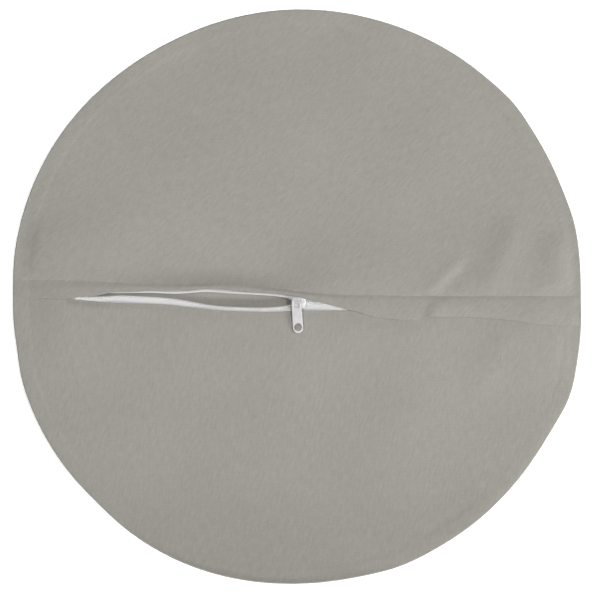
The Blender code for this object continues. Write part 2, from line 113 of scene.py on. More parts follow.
def through(stations, place):  # a smooth curve through (place, value) stations, flat past both ends
    xs = np.array([station[0] for station in stations], float)
    ys = np.array([station[1] for station in stations], float)
    slopes = np.empty_like(ys)
    slopes[1:-1] = (ys[2:] - ys[:-2]) / (xs[2:] - xs[:-2])
    slopes[0] = (ys[1] - ys[0]) / (xs[1] - xs[0])
    slopes[-1] = (ys[-1] - ys[-2]) / (xs[-1] - xs[-2])
    place = np.clip(place, xs[0], xs[-1])
    low = np.clip(np.searchsorted(xs, place) - 1, 0, len(xs) - 2)
    gap = xs[low + 1] - xs[low]
    share = (place - xs[low]) / gap
    rise = share * share * (3 - 2 * share)
    leadIn = share * (1 - share) ** 2 * gap * slopes[low]
    leadOut = share ** 2 * (share - 1) * gap * slopes[low + 1]
    return ys[low] + (ys[low + 1] - ys[low]) * rise + leadIn + leadOut


def zipPlace(along, across):  # a place on the zip's own line, in plan
    tilt = zipLine["tilt"]
    x = along * math.cos(tilt) + across * math.sin(tilt)
    y = zipLine["y"] - along * math.sin(tilt) + across * math.cos(tilt)
    return x, y


def onZip(x, y):
    tilt = zipLine["tilt"]
    along = x * math.cos(tilt) - (y - zipLine["y"]) * math.sin(tilt)
    across = x * math.sin(tilt) + (y - zipLine["y"]) * math.cos(tilt)
    return along, across


def rimRadius(angle):
    waver = 0.0
    for count, height, phase in cover["rimWaver"]:
        waver = waver + height * np.cos(count * angle + math.radians(phase))
    right = (np.remainder(angle + math.pi, math.tau) - math.pi) / cover["notchSpread"]
    left = (np.remainder(angle, math.tau) - math.pi) / cover["notchSpread"]
    notch = cover["notch"] * (bell(right) + bell(left))
    for direction, swellSpread, swell in cover["rimSwells"]:
        off = np.remainder(angle - math.radians(direction) + math.pi, math.tau) - math.pi
        waver = waver + swell * bell(off / math.radians(swellSpread))
    return cover["radius"] + waver - notch


def outlineMiddle():
    turns = np.linspace(0, math.tau, 720, endpoint=False)
    xs = rimRadius(turns) * np.cos(turns)
    ys = rimRadius(turns) * np.sin(turns)
    return (xs.max() + xs.min()) / 2, (ys.max() + ys.min()) / 2


middleX, middleY = outlineMiddle()


def rimPlace(angle, inset):
    reach = rimRadius(angle) - inset
    return reach * np.cos(angle) - middleX, reach * np.sin(angle) - middleY


def rimDepth(x, y):
    angle = np.arctan2(y + middleY, x + middleX)
    return rimRadius(angle) - np.hypot(x + middleX, y + middleY), angle


def backLevel(x, y):  # middle of the back's top layer, before its creases
    depth, _ = rimDepth(x, y)
    loft = cover["rimTop"] + (cover["loftTop"] - cover["rimTop"]) * smooth(depth / cover["loftRun"])
    _, across = onZip(x, y)
    ridge = smooth(1 - (np.abs(across) - cover["ridgeFlat"]) / cover["ridgeFall"])
    ridge = ridge * smooth(depth / cover["ridgeRun"])
    return loft + (cover["ridgeTop"] - loft) * ridge


# Edges beside the zip: (along, across), positive towards the upper half

edges = {
    "stitch": [(-197, 10.3), (-150, 10.6), (-120, 10.0), (-88, 10.0), (-58, 11.7), (-44, 12.0), (-30, 10.9),
               (-10, 8.8), (23, 6.6), (55, 6.8), (85, 7.2), (140, 8.9), (197, 10.6)],
    "lip": [(-197, -1.9), (-172, -2.1), (-163, -2.4), (-159.5, -2.0), (-156, -1.3), (-150, -0.1),
            (-143.4, 0.2), (-139, 0.9), (-136, 1.6), (-133, 2.4), (-128, 3.3), (-120, 3.8), (-110, 4.4),
            (-103, 5.2), (-85, 6.0), (-76, 6.4), (-65, 7.9), (-50, 8.0), (-42, 7.3), (-36, 6.8), (-20, 6.35),
            (-9, 5.7), (-3.55, 4.6), (2.5, 4.15), (6.15, 3.45), (8.5, 2.6), (13, 1.4), (19, 0.1), (26, -1.5),
            (32, -2.85), (37, -4.0), (41, -4.8), (46, -6.1), (52, -7.6), (66, -9.4), (84, -9.7), (88, -9.2),
            (91, -7.6), (96, -6.8), (127, -6.5), (150, -7.9), (170, -10.2)],
    "lower": [(-197, -1.7), (-172, -1.9), (-160, -2.1), (-154.5, -2.3), (-149, -2.65), (-143, -3.2),
              (-137, -3.75), (-131, -3.95), (-115, -4.05), (-105, -4.2), (-90, -4.45), (-79, -5.2),
              (-65, -6.2), (-54, -7.0), (-43, -7.35), (-24, -7.25), (-14, -6.9), (-6, -6.2), (3, -5.65),
              (16, -5.15), (34, -4.65), (100, -4.3)],
    "upperTips": [(-156, 0.45), (-142, 1.2), (-134, 2.3), (-122, 2.8), (-110, 3.4), (-98, 3.6), (-85, 3.55),
                  (-77, 4.15), (-65, 5.4), (-58, 5.45), (-48, 4.95), (-32, 4.55), (-20, 4.2), (-12, 3.5),
                  (-7, 2.6), (-3.55, 1.15), (-1.75, 1.0), (3.725, -0.4)],
    "lowerTips": [(-156, -0.4), (-147, 0.1), (-134, 0.6), (-122, 1.4), (-110, 1.3), (-98, 1.05),
                  (-88, 0.5), (-78, -0.7), (-64, -2.85), (-54, -3.8), (-46, -4.15), (-28, -4.15),
                  (-18, -3.55), (-10, -2.5), (-3.55, -1.1), (-1.75, -1.0), (3.725, 0.4)],
}

# Creases and dents of the back: start, end, widths to the left and right of the line, height in the middle

creases = [
    ((90, 3.0), (116, 28), 5.0, 4.5, 0.65),
    ((99, 1.0), (124, 28), 4.0, 7.0, -0.75),
    ((132, 2.0), (156, 58), 10.0, 8.0, 1.3),
    ((162, 4.0), (168, 46), 8.0, 8.0, -0.6),
    ((187, 4.0), (185, 46), 15.0, 6.0, 2.0),
    ((-185, 13.0), (-176, 56), 7.0, 15.0, 1.3),
    ((181, -20), (176, -58), 7.0, 6.0, 0.4),
    ((-192, 24.0), (-146, 13.0), 6.0, 5.0, -0.4),
    ((-128, -22.0), (-80, -15.0), 9.0, 9.0, -0.4),
    ((-60, -24.0), (30, -22.0), 7.0, 9.0, -0.4),
    ((20, -30.0), (100, -26.0), 8.0, 8.0, 0.4),
    ((150, -24.0), (120, -74.0), 10.0, 12.0, 0.8),
]
creaseEnds = {"over": 0.12, "rise": 0.3, "fade": 0.5}  # each starts and stops a little past its two ends


def creaseHeight(x, y):
    height = np.zeros_like(x)
    for (startX, startY), (endX, endY), left, right, top in creases:
        runX = endX - startX
        runY = endY - startY
        length = math.hypot(runX, runY)
        share = ((x - startX) * runX + (y - startY) * runY) / length ** 2
        off = ((y - startY) * runX - (x - startX) * runY) / length  # positive to the left of the line
        width = np.where(off > 0, left, right)
        taper = smooth((share + creaseEnds["over"]) / creaseEnds["rise"])
        taper = taper * smooth((1 + creaseEnds["over"] - share) / creaseEnds["fade"])
        height = height + top * taper * bell(off / width)
    return height


def slack(x, y):  # the loose cloth's own long, shallow waves
    wave = 0.20 * np.sin(x / 17.0 + 0.9 * np.sin(y / 29.0) + 0.4)
    wave = wave + 0.16 * np.sin((x + 1.9 * y) / 31.0 + 1.7)
    wave = wave + 0.14 * np.sin((1.6 * x - y) / 23.0 + 2.6)
    wave = wave + 0.05 * np.sin(y / 6.1 + 1.3 * np.sin(x / 19.0))
    return wave


def rimShape(depth, angle):  # the allowance shows as a low step, and the seam draws up small puckers
    step = cover["rimStep"] * (1 - smooth((depth - cover["stepEnd"]) / cover["stepRun"]))
    pucker = cover["pucker"] * np.sin(61 * angle + 2.0 * np.sin(5 * angle))
    pucker = pucker + cover["finePucker"] * np.sin(103 * angle + 1.1)
    direction = np.degrees(np.remainder(angle, math.tau))
    roll = through(cover["rimDrop"], direction) * np.maximum(1 - depth / cover["rimRoll"], 0) ** 2
    curl = through(cover["rimLift"], direction) * np.maximum(1 - depth / cover["liftRun"], 0) ** 2
    return step + pucker * np.exp(-depth / cover["puckerRun"]) - roll + curl


def backTop(x, y):  # middle of the back's top layer as it lies
    depth, angle = rimDepth(x, y)
    calm = smooth(depth / cover["calm"])
    return backLevel(x, y) + (creaseHeight(x, y) - slack(x, y)) * calm + rimShape(depth, angle)


# Mesh helpers

weldGap = {"cloth": 0.002, "slider": 0.001}  # corners closer than this become one


def spots(x, y, level):
    return np.stack([x, y, level], axis=-1)


def newObject(name, data):
    item = bpy.data.objects.new(name, data)
    bpy.context.scene.collection.objects.link(item)
    return item


def workedMesh(item):  # the mesh that an object's modifiers, or a curve's own sizes, make of it
    graph = bpy.context.evaluated_depsgraph_get()
    return bpy.data.meshes.new_from_object(item.evaluated_get(graph))


def plainObject(item):
    plain = workedMesh(item)
    item.modifiers.clear()
    item.data = plain
    plain.name = item.name
    return item


def gridMesh(name, points, closed=False):  # a grid of rows by columns of points, in millimetres
    rows, columns = points.shape[:2]
    last = columns if closed else columns - 1
    row, column = np.meshgrid(np.arange(rows - 1), np.arange(last), indexing="ij")
    after = (column + 1) % columns
    faces = np.stack([row * columns + column, row * columns + after, (row + 1) * columns + after,
                      (row + 1) * columns + column], axis=-1).reshape(-1, 4)
    mesh = bpy.data.meshes.new(name)
    mesh.from_pydata((points.reshape(-1, 3) * mm).tolist(), [], faces.tolist())
    return mesh


def weld(work, gap):  # joins corners that meet, and turns the faces outwards
    bmesh.ops.remove_doubles(work, verts=work.verts, dist=gap * mm)
    bmesh.ops.recalc_face_normals(work, faces=work.faces)


def tidyMesh(mesh):
    work = bmesh.new()
    work.from_mesh(mesh)
    weld(work, weldGap["cloth"])
    work.to_mesh(mesh)
    work.free()
    return mesh


def smoothShade(item, angle):
    item.data.shade_smooth()
    item.data.set_sharp_from_angle(angle=math.radians(angle))
    return item


def sheetArea(points):  # the sheet's area before it gets its thickness, in square metres
    across = points[1:, :-1] - points[:-1, :-1]
    along = points[:-1, 1:] - points[:-1, :-1]
    return float(np.linalg.norm(np.cross(across, along), axis=-1).sum()) * mm * mm


def clothPiece(name, points, thickness=cover["cloth"], closed=False):
    item = newObject(name, tidyMesh(gridMesh(name, points, closed)))
    wall = item.modifiers.new("wall", "SOLIDIFY")
    wall.thickness = thickness * mm
    wall.offset = 0.0
    return smoothShade(plainObject(item), 50)


def spread(steps):  # steps from 0 to 1 that lie closer together at both ends
    return 0.5 - 0.5 * np.cos(math.pi * np.arange(steps + 1) / steps)


# Materials

def addNode(tree, kind, inputs=None, settings=None):
    made = tree.nodes.new(kind)
    for key, value in (settings or {}).items():
        setattr(made, key, value)
    for key, value in (inputs or {}).items():
        if isinstance(value, bpy.types.NodeSocket):
            tree.links.new(value, made.inputs[key])
        else:
            made.inputs[key].default_value = value
    return made


def flow(tree, kind, inputs, settings=None):  # the first of the new node's outputs
    return addNode(tree, kind, inputs, settings).outputs[0]


def mathNode(tree, operation, first, second):
    return flow(tree, "ShaderNodeMath", {0: first, 1: second}, {"operation": operation})


def newFinish(name, roughness, sheen=0.0):
    material = bpy.data.materials.new(name)
    material.use_nodes = True
    shader = material.node_tree.nodes["Principled BSDF"]
    shader.inputs["Roughness"].default_value = roughness
    shader.inputs["Sheen Weight"].default_value = sheen
    place = addNode(material.node_tree, "ShaderNodeTexCoord").outputs["Object"]
    return material, material.node_tree, shader, place


def turned(tree, place, scale=(1, 1, 1), turn=0.0):
    inputs = {"Vector": place, "Scale": scale, "Rotation": (0, 0, math.radians(turn))}
    return flow(tree, "ShaderNodeMapping", inputs)


def threads(tree, place, pitch, turn, drift=0.0):  # parallel bands, pitch in millimetres
    settings = {"wave_type": "BANDS", "bands_direction": "X", "wave_profile": "SIN"}
    inputs = {"Vector": turned(tree, place, turn=turn), "Scale": math.tau / 20 / (pitch * mm),
              "Distortion": drift, "Detail": 1.0, "Detail Scale": 0.025}
    return addNode(tree, "ShaderNodeTexWave", inputs, settings).outputs["Fac"]


def noise(tree, place, scale, detail=2.0):
    inputs = {"Vector": place, "Scale": scale, "Detail": detail, "Roughness": 0.55}
    return addNode(tree, "ShaderNodeTexNoise", inputs).outputs["Fac"]


def weighted(tree, parts):  # the sum of each part, less its middle, times its weight, about one half
    total = 0.5
    for value, weight in parts:
        part = mathNode(tree, "MULTIPLY", mathNode(tree, "SUBTRACT", value, 0.5), weight)
        total = mathNode(tree, "ADD", part, total)
    return total


def shadeBetween(tree, shader, tone, dark, light):
    inputs = {0: tone, 6: (*dark, 1), 7: (*light, 1)}
    mix = addNode(tree, "ShaderNodeMix", inputs, {"data_type": "RGBA"})
    tree.links.new(mix.outputs[2], shader.inputs["Base Color"])


def relief(tree, shader, height, strength, distance):
    inputs = {"Height": height, "Strength": strength, "Distance": distance * mm}
    tree.links.new(flow(tree, "ShaderNodeBump", inputs), shader.inputs["Normal"])


shades = {  # the darkest and the lightest of each finish
    "cloth": ((0.232, 0.222, 0.199), (0.432, 0.417, 0.379)),
    "tape": ((0.55, 0.547, 0.547), (0.685, 0.682, 0.68)),
    "coil": ((0.86, 0.855, 0.85), (0.97, 0.965, 0.955)),
    "enamel": ((0.52, 0.515, 0.515), (0.76, 0.755, 0.75)),
    "coverThread": ((0.25, 0.24, 0.215), (0.38, 0.365, 0.33)),
    "tackThread": ((0.52, 0.51, 0.50), (0.74, 0.73, 0.72)),
}
clothFinish = {
    "threadPitch": 0.48,
    "drift": 9.0,  # how far the threads wander off the straight
    "upperHatch": 42,  # the way the faint streaks in the weave run
    "lowerHatch": 17,
    "paintedShadeNear": -0.170,  # painted shade: the cloth's colour is darker towards the near edge, where the light falls off
    "paintedShadeFar": -0.105,
    "paintedShadeTone": -0.115,
}


def clothMaterial(name, hatch):
    material, tree, shader, place = newFinish(name, 0.92, 0.18)
    shader.inputs["Sheen Roughness"].default_value = 0.45
    warp = threads(tree, place, clothFinish["threadPitch"], 0, clothFinish["drift"])
    weft = threads(tree, place, clothFinish["threadPitch"], 90, clothFinish["drift"])
    weave = weighted(tree, [(mathNode(tree, "MULTIPLY", warp, weft), 1.2), (warp, 0.35), (weft, 0.35)])
    slubAcross = noise(tree, turned(tree, place, (150, 900, 1)), 1.0)
    slubAlong = noise(tree, turned(tree, place, (900, 150, 1)), 1.0)
    patches = noise(tree, place, 14.0, 3.0)
    streaks = noise(tree, turned(tree, turned(tree, place, turn=hatch), (620, 130, 1)), 1.0)
    # painted shade: the colour darkens towards the near edge of the cover, standing in for the light falling
    # off there
    inputs = {"Value": addNode(tree, "ShaderNodeSeparateXYZ", {0: place}).outputs["Y"],
              "From Min": clothFinish["paintedShadeNear"], "From Max": clothFinish["paintedShadeFar"],
              "To Min": 1.5, "To Max": 0.5}
    paintedShade = flow(tree, "ShaderNodeMapRange", inputs, {"interpolation_type": "SMOOTHSTEP"})
    tone = weighted(tree, [(weave, 0.11), (slubAcross, 0.24), (slubAlong, 0.24), (patches, 0.20),
                           (streaks, 0.42), (paintedShade, clothFinish["paintedShadeTone"])])
    shadeBetween(tree, shader, tone, *shades["cloth"])
    height = weighted(tree, [(weave, 0.7), (slubAcross, 0.8), (slubAlong, 0.8), (streaks, 0.3)])
    relief(tree, shader, height, 0.5, 0.13)
    return material


def tapeMaterial():
    material, tree, shader, place = newFinish("zipTapeWeave", 0.82, 0.10)
    place = turned(tree, place, turn=math.degrees(zipLine["tilt"]))
    ribs = threads(tree, place, 0.55, 90)
    twill = threads(tree, place, 0.62, 45, 0.5)
    wear = noise(tree, place, 260.0, 3.0)
    tone = weighted(tree, [(ribs, 0.35), (twill, 0.45), (wear, 0.4)])
    shadeBetween(tree, shader, tone, *shades["tape"])
    relief(tree, shader, weighted(tree, [(ribs, 0.7), (twill, 0.9)]), 0.5, 0.10)
    return material


def coilMaterial():
    material, tree, shader, place = newFinish("coilNylon", 0.45, 0.1)
    clouded = noise(tree, place, 900.0, 2.0)
    shadeBetween(tree, shader, clouded, *shades["coil"])
    relief(tree, shader, noise(tree, place, 2600.0, 2.0), 0.3, 0.03)
    return material


def enamelMaterial():
    material, tree, shader, place = newFinish("whiteEnamel", 0.30)
    shader.inputs["Coat Weight"].default_value = 0.25
    shader.inputs["Coat Roughness"].default_value = 0.12
    shade = noise(tree, place, 420.0, 3.0)
    specks = addNode(tree, "ShaderNodeValToRGB", {0: noise(tree, place, 1500.0, 4.0)})
    specks.color_ramp.elements[0].position = 0.30
    specks.color_ramp.elements[1].position = 0.40
    tone = mathNode(tree, "MULTIPLY", weighted(tree, [(shade, 0.7)]), specks.outputs["Color"])
    shadeBetween(tree, shader, tone, *shades["enamel"])
    relief(tree, shader, noise(tree, place, 1300.0, 2.0), 0.25, 0.05)
    return material


def threadMaterial(name):
    material, tree, shader, place = newFinish(name, 0.75, 0.15)
    strands = threads(tree, place, 0.22, 38, 0.6)
    tone = weighted(tree, [(strands, 0.8), (noise(tree, place, 700.0), 0.5)])
    shadeBetween(tree, shader, tone, *shades[name])
    relief(tree, shader, strands, 0.5, 0.05)
    return material


upperWeave = clothMaterial("coverWeaveUpper", clothFinish["upperHatch"])
lowerWeave = clothMaterial("coverWeaveLower", clothFinish["lowerHatch"])
tapeWeave = tapeMaterial()
coilNylon = coilMaterial()
whiteEnamel = enamelMaterial()
coverThread = threadMaterial("coverThread")
tackThread = threadMaterial("tackThread")
print("materials made")


def dress(item, material):
    item.data.materials.clear()
    item.data.materials.append(material)
    return item


def sheetPiece(name, points, weave, thickness=cover["cloth"]):
    return dress(clothPiece(name, points, thickness), weave), sheetArea(points)


# Cloth

foldTurns = [math.pi * (step + 1) / cover["foldSteps"] for step in range(cover["foldSteps"])]  # round a fold

frontCloth = {
    "segments": 300,
    "rings": 64,
    "ringPower": 0.75,  # the rings lie closer together towards the rim
    "swell": 0.875,
    "flatRim": 14.0,
    "swellRun": 40.0,
    "lift": [(-175, 0.0), (-150, 3.4), (-125, 4.0), (-95, 3.9), (-60, 2.2), (-30, 1.2), (60, 0.6),
             (175, 0.0)],
    "liftReach": 22.0,  # the front is drawn up a little under the zip
    "ruck": [(-100, 0.0), (-72, 1.3), (-45, 2.2), (-14, 2.3), (0, 0.4), (8, 0.0)],  # rucked under the mouth
    "ruckAt": 6.5,
    "ruckReach": 6.5,
}


def rollRound(angle, top, bottom):  # the rim's half-round fold, from the top layer to the allowance
    rows = []
    for turn in foldTurns:
        x, y = rimPlace(angle, cover["turn"] * (1 - math.sin(turn)))
        rows.append(spots(x, y, top + (bottom - top) * (1 - math.cos(turn)) / 2))
    return rows


def allowanceRows(angle, level):
    rows = []
    for share in (0.2, 0.4, 0.7, 1.0):
        inset = cover["turn"] + (cover["allowance"] - cover["turn"]) * share
        x, y = rimPlace(angle, inset + cover["allowanceWander"] * np.sin(23 * angle))
        rows.append(spots(x, y, level + cover["allowanceRipple"] * np.sin(37 * angle) * share))
    return rows


def makeFront():
    angle = np.linspace(0, math.tau, frontCloth["segments"], endpoint=False)
    rows = []
    for share in np.linspace(0, 1, frontCloth["rings"]) ** frontCloth["ringPower"]:
        x, y = rimPlace(angle, cover["turn"] + (rimRadius(angle) - cover["turn"]) * (1 - share))
        if share == 0:
            x = np.full_like(angle, -middleX)
            y = np.full_like(angle, -middleY)
        depth, _ = rimDepth(x, y)
        wave = np.maximum(slack(1.3 * y + 40, 1.2 * x), 0) * frontCloth["swell"]  # waves of its own
        along, across = onZip(x, y)
        drawn = through(frontCloth["lift"], along) * bell(across / frontCloth["liftReach"])
        off = (across - frontCloth["ruckAt"]) / frontCloth["ruckReach"]
        drawn = drawn + through(frontCloth["ruck"], along) * bell(off)
        free = smooth((depth - frontCloth["flatRim"]) / frontCloth["swellRun"])
        rows.append(spots(x, y, cover["frontLevel"] + (wave + drawn) * free))
    flat = np.full_like(angle, cover["frontLevel"])
    raised = np.full_like(angle, cover["frontAllowance"])
    rows += rollRound(angle, flat, raised)
    rows += allowanceRows(angle, raised)
    return dress(clothPiece("frontCloth", np.stack(rows), closed=True), lowerWeave)


backCloth = {
    "columns": 300,
    "rows": 104,
    "panelEnd": 178.0,
    "hemRows": (7.0, 4.0, 2.0, 1.0),  # the turned-under hem, from its cut edge
    "hemFold": 0.16,
    "hemDrop": 0.38,
    "hemSink": [(-197, 0.0), (-185, 0.1), (-168, 0.1), (-156, 0.6), (-126, 0.8), (-60, 0.7), (0, 0.6),
                (34, 0.8), (60, 0.75), (100, 0.7), (150, 0.6), (178, 0.3), (197, 0.0)],
    "hemTop": [(-168, 9.0), (-158, 7.03), (-136, 7.03), (-122, 9.0)],  # its highest at the left end
    "hemReach": [(-175, 2.6), (-150, 3.0), (-115, 3.2), (-90, 5.0), (20, 5.0), (50, 7.0)],
    "underLap": 0.5,
    "underRun": 2.5,
    "lipSwell": [(35, 0.0), (60, 0.05), (170, 0.12), (192, 0.1)],  # it stands up to the lap's edge
    "swellStart": -1.0,
    "swellTop": 0.4,
    "swellReach": 5.0,
    "pressed": 0.14,  # the upper half's edge is pressed down on to the lap
    "stitchDip": 0.08,
    "dipStart": 0.6,
    "dipReach": 1.6,
    "stitchPull": 0.35,
    "stitchFall": [(-197, 0.0), (-165, 0.0), (-150, 0.3), (-130, 1.1), (-110, 2.0), (-80, 2.8), (-50, 3.3),
                   (-25, 3.2), (-5, 2.0), (10, 0.3), (24, -0.7), (45, -0.6), (197, -0.5)],
    "fallRun": 12.0,  # the upper half falls away from its stitches over this width
    "fallBack": 26.0,
    "fallCalm": 20.0,
}


def seamAngle(side):  # where the line of the lap's stitches comes to the rim, right or left
    along = side * cover["radius"]
    x, y = zipPlace(along, through(edges["stitch"], along))
    return math.atan2(y + middleY, x + middleX) % math.tau


def stitchDip(along, below):  # the cloth is drawn down along the row of stitches, a little at each one
    pull = 1 + backCloth["stitchPull"] * np.cos(along * math.tau / cover["stitchPitch"])
    return backCloth["stitchDip"] * pull * bell(below / backCloth["dipReach"])


def upperFall(along, above):
    run = backCloth["fallRun"]
    share = 1 - (1 - np.clip(above / run, 0, 1)) ** 2
    share = share * bell(np.maximum(above - run, 0) / backCloth["fallBack"])
    return through(backCloth["stitchFall"], along) * share


def upperTop(x, y):
    along, across = onZip(x, y)
    above = np.maximum(across - through(edges["stitch"], along), 0)
    depth, _ = rimDepth(x, y)
    dip = backCloth["pressed"] * bell(above)
    dip = dip + stitchDip(along, np.maximum(above - backCloth["dipStart"], 0))
    return backTop(x, y) - upperFall(along, above) * smooth(depth / backCloth["fallCalm"]) - dip


def lowerTop(x, y):  # at the zip's left end the hem lies lower, so that the slider passes over it
    along, across = onZip(x, y)
    below = np.maximum(through(edges["lower"], along) - across, 0)
    level = backTop(x, y)
    sink = np.maximum(through(backCloth["hemSink"], along), level - through(backCloth["hemTop"], along))
    sink = sink * bell(below / through(backCloth["hemReach"], along))
    under = (across - through(edges["lower"], along)) / backCloth["underRun"]
    sink = sink + backCloth["underLap"] * smooth(under)
    past = through(edges["lip"], along) - across
    swell = smooth((past - backCloth["swellStart"]) / (backCloth["swellTop"] - backCloth["swellStart"]))
    swell = swell * bell(np.maximum(past - backCloth["swellTop"], 0) / backCloth["swellReach"])
    return level - sink + through(backCloth["lipSwell"], along) * swell


def rimRows(angle, shape):  # what follows the top layer at the rim
    x, y = rimPlace(angle, cover["turn"])
    inside = np.full_like(angle, cover["backAllowance"])
    return rollRound(angle, shape(x, y), inside) + allowanceRows(angle, inside)


def makeUpper():
    share = np.linspace(0, 1, backCloth["columns"] + 1)
    first = math.remainder(seamAngle(1), math.tau)
    last = seamAngle(-1)
    angle = first + (last - first) * share
    along = backCloth["panelEnd"] * (1 - 2 * share)
    startX, startY = zipPlace(along, through(edges["stitch"], along))
    endX, endY = rimPlace(angle, cover["turn"])
    rows = []
    for step in spread(backCloth["rows"]):
        x = startX + (endX - startX) * step
        y = startY + (endY - startY) * step
        rows.append(spots(x, y, upperTop(x, y)))
    return sheetPiece("backUpperCloth", np.stack(rows + rimRows(angle, upperTop)), upperWeave)


def makeLower():
    share = np.linspace(0, 1, backCloth["columns"] + 1)
    first = seamAngle(-1)
    last = seamAngle(1) + math.tau
    angle = first + (last - first) * share  # at its two ends it goes on under the lap
    along = backCloth["panelEnd"] * (2 * share - 1)
    edgeX, edgeY = zipPlace(along, through(edges["lower"], along))
    endX, endY = rimPlace(angle, cover["turn"])
    reach = np.hypot(endX - edgeX, endY - edgeY)
    inX = (endX - edgeX) / reach
    inY = (endY - edgeY) / reach
    rows = []
    fold = backCloth["hemFold"]
    drop = backCloth["hemDrop"]
    for inset in (*backCloth["hemRows"], fold):
        x = edgeX + inX * inset
        y = edgeY + inY * inset
        rows.append(spots(x, y, lowerTop(x, y) - drop))
    for turn in foldTurns[:-1]:
        x = edgeX + inX * fold * (1 - math.sin(turn))
        y = edgeY + inY * fold * (1 - math.sin(turn))
        rows.append(spots(x, y, lowerTop(x, y) - drop * (1 + math.cos(turn)) / 2))
    for step in spread(backCloth["rows"]):
        x = edgeX + inX * (fold + (reach - fold) * step)
        y = edgeY + inY * (fold + (reach - fold) * step)
        rows.append(spots(x, y, lowerTop(x, y)))
    return sheetPiece("backLowerCloth", np.stack(rows + rimRows(angle, lowerTop)), lowerWeave)


flapCloth = {
    "reach": 198.6,
    "endGap": 0.9,  # it stops this short of the rim
    "caught": 0.15,  # its ends are caught in the rim's seam
    "caughtRun": 8.0,
    "columns": 170,
    "rows": 24,
    "tuck": 7.0,  # how far it goes in under the upper half
    "tuckShares": (1.0, 0.6, 0.3, 0.1),
    "tuckStart": 0.1,
    "tuckDrop": 0.9,
    "under": 0.32,
    "returnShares": (1.0, 0.9, 0.8, 0.65, 0.5, 0.35),  # the layer folded back underneath
    "returnLow": -1.6,
    "fold": 0.15,
    "drop": 0.36,
    "rise": [(-197, 0.9), (-170, 1.1), (-155, 1.25), (-140, 1.4), (-125, 1.2), (-110, 0.9), (-14, 0.9),
             (-3.5, 0.8), (6, 0.85), (30, 0.75), (70, 0.7), (84, 0.95), (100, 1.1), (115, 0.8), (197, 0.8)],
    "emerge": [(-197, 7.0), (-150, 5.0), (-115, 2.6), (197, 2.6)],  # it comes out from under over this width
    "puff": [(20, 0.0), (45, 0.15), (90, 0.3), (150, 0.4), (197, 0.25)],  # it is padded by the zip below
    "puffWave": 0.35,
}
flapTuck = {  # the tuck in the lap, with a steep right side and a ridge beside it
    "at": 86.5,
    "slant": 6.0,
    "left": 9.0,
    "right": 4.2,
    "depth": 0.7,
    "ridge": 0.45,
    "ridgeAt": 9.0,
    "ridgeWidth": 5.0,
    "fade": 0.5,
}


def flapCrease(along, below, width):
    off = along - flapTuck["at"] - flapTuck["slant"] * (1 - np.clip(below / width, 0, 1))
    side = np.where(off < 0, flapTuck["left"], flapTuck["right"])
    ridge = flapTuck["ridge"] * bell((off - flapTuck["ridgeAt"]) / flapTuck["ridgeWidth"])
    groove = flapTuck["depth"] * bell(off / side)
    return (ridge - groove) * smooth(below / width / flapTuck["fade"])


def makeFlap(name, start, end):
    along = np.linspace(start, end, flapCloth["columns"] + 1)
    stitch = through(edges["stitch"], along)
    lip = through(edges["lip"], along)
    width = stitch - lip
    rise = through(flapCloth["rise"], along)
    fold = flapCloth["fold"]
    rows = []

    def place(across, top):
        x, y = zipPlace(along, across)
        depth, _ = rimDepth(x, y)
        short = np.maximum(flapCloth["endGap"] - depth, 0) * np.sign(along)
        x, y = zipPlace(along - short, across)
        depth, _ = rimDepth(x, y)
        caught = flapCloth["caught"] + (1 - flapCloth["caught"]) * smooth(depth / flapCloth["caughtRun"])
        rows.append(spots(x, y, backTop(x, y) + top * caught))

    def topAt(below):
        emerge = flapCloth["under"] * (1 - smooth(below / through(flapCloth["emerge"], along)))
        share = np.clip(below / width, 0, 1)
        puff = through(flapCloth["puff"], along) * np.sin(math.pi * share)
        puff = puff * (1 + flapCloth["puffWave"] * np.sin(along / 6.5))
        return rise * (1 - (1 - share) ** 2) + puff - emerge + flapCrease(along, below, width)

    for share in flapCloth["tuckShares"]:
        above = flapCloth["tuck"] * share
        drop = flapCloth["under"] + flapCloth["tuckStart"] + flapCloth["tuckDrop"] * share
        place(stitch + above, -drop - np.maximum(upperFall(along, above), 0))
    for share in np.linspace(0, 1, flapCloth["rows"]):
        below = (width - fold) * share
        place(stitch - below, topAt(below))
    for turn in foldTurns[:-1]:
        below = width - fold + fold * math.sin(turn)
        place(stitch - below, topAt(below) - flapCloth["drop"] * (1 - math.cos(turn)) / 2)
    for share in flapCloth["returnShares"]:
        below = (width - fold) * share
        place(stitch - below, np.maximum(topAt(below) - flapCloth["drop"], flapCloth["returnLow"]))
    return sheetPiece(name, np.stack(rows), upperWeave)


frontPiece = makeFront()
upperPiece, upperArea = makeUpper()
lowerPiece, lowerArea = makeLower()
flapLeft, flapLeftArea = makeFlap("lapFlapLeft", -flapCloth["reach"], zipLine["middle"])
flapRight, flapRightArea = makeFlap("lapFlapRight", zipLine["middle"], flapCloth["reach"])
clothAreas = (upperArea, lowerArea, flapLeftArea, flapRightArea)
print("cloth made, in square metres:", [round(area, 5) for area in clothAreas])


# Zip tapes

tapeCloth = {
    "width": 12.8,
    "level": 6.35,
    "edge": [(-160, 0.4), (-140, 0.15), (-12, 0.15), (-4, 0.55), (160, 0.55)],  # behind the coil's tips
    "lift": [(-160, 0.1), (-153, 0.25), (-138, 0.2), (-125, 0.35), (-20, 0.35), (-8, 0.0), (10, 0.0),
             (25, 0.25), (50, 0.0)],
    "liftShare": 0.45,  # of its width
    "sag": 0.6,
    "sagStart": 0.25,
    "sagRun": 0.35,
    "ripple": 0.07,
    "follow": 0.55,  # how much of the upper half's fall its back takes on
    "thickness": 0.45,
    "columns": 150,
    "rows": 14,
    "tail": 4.0,
}


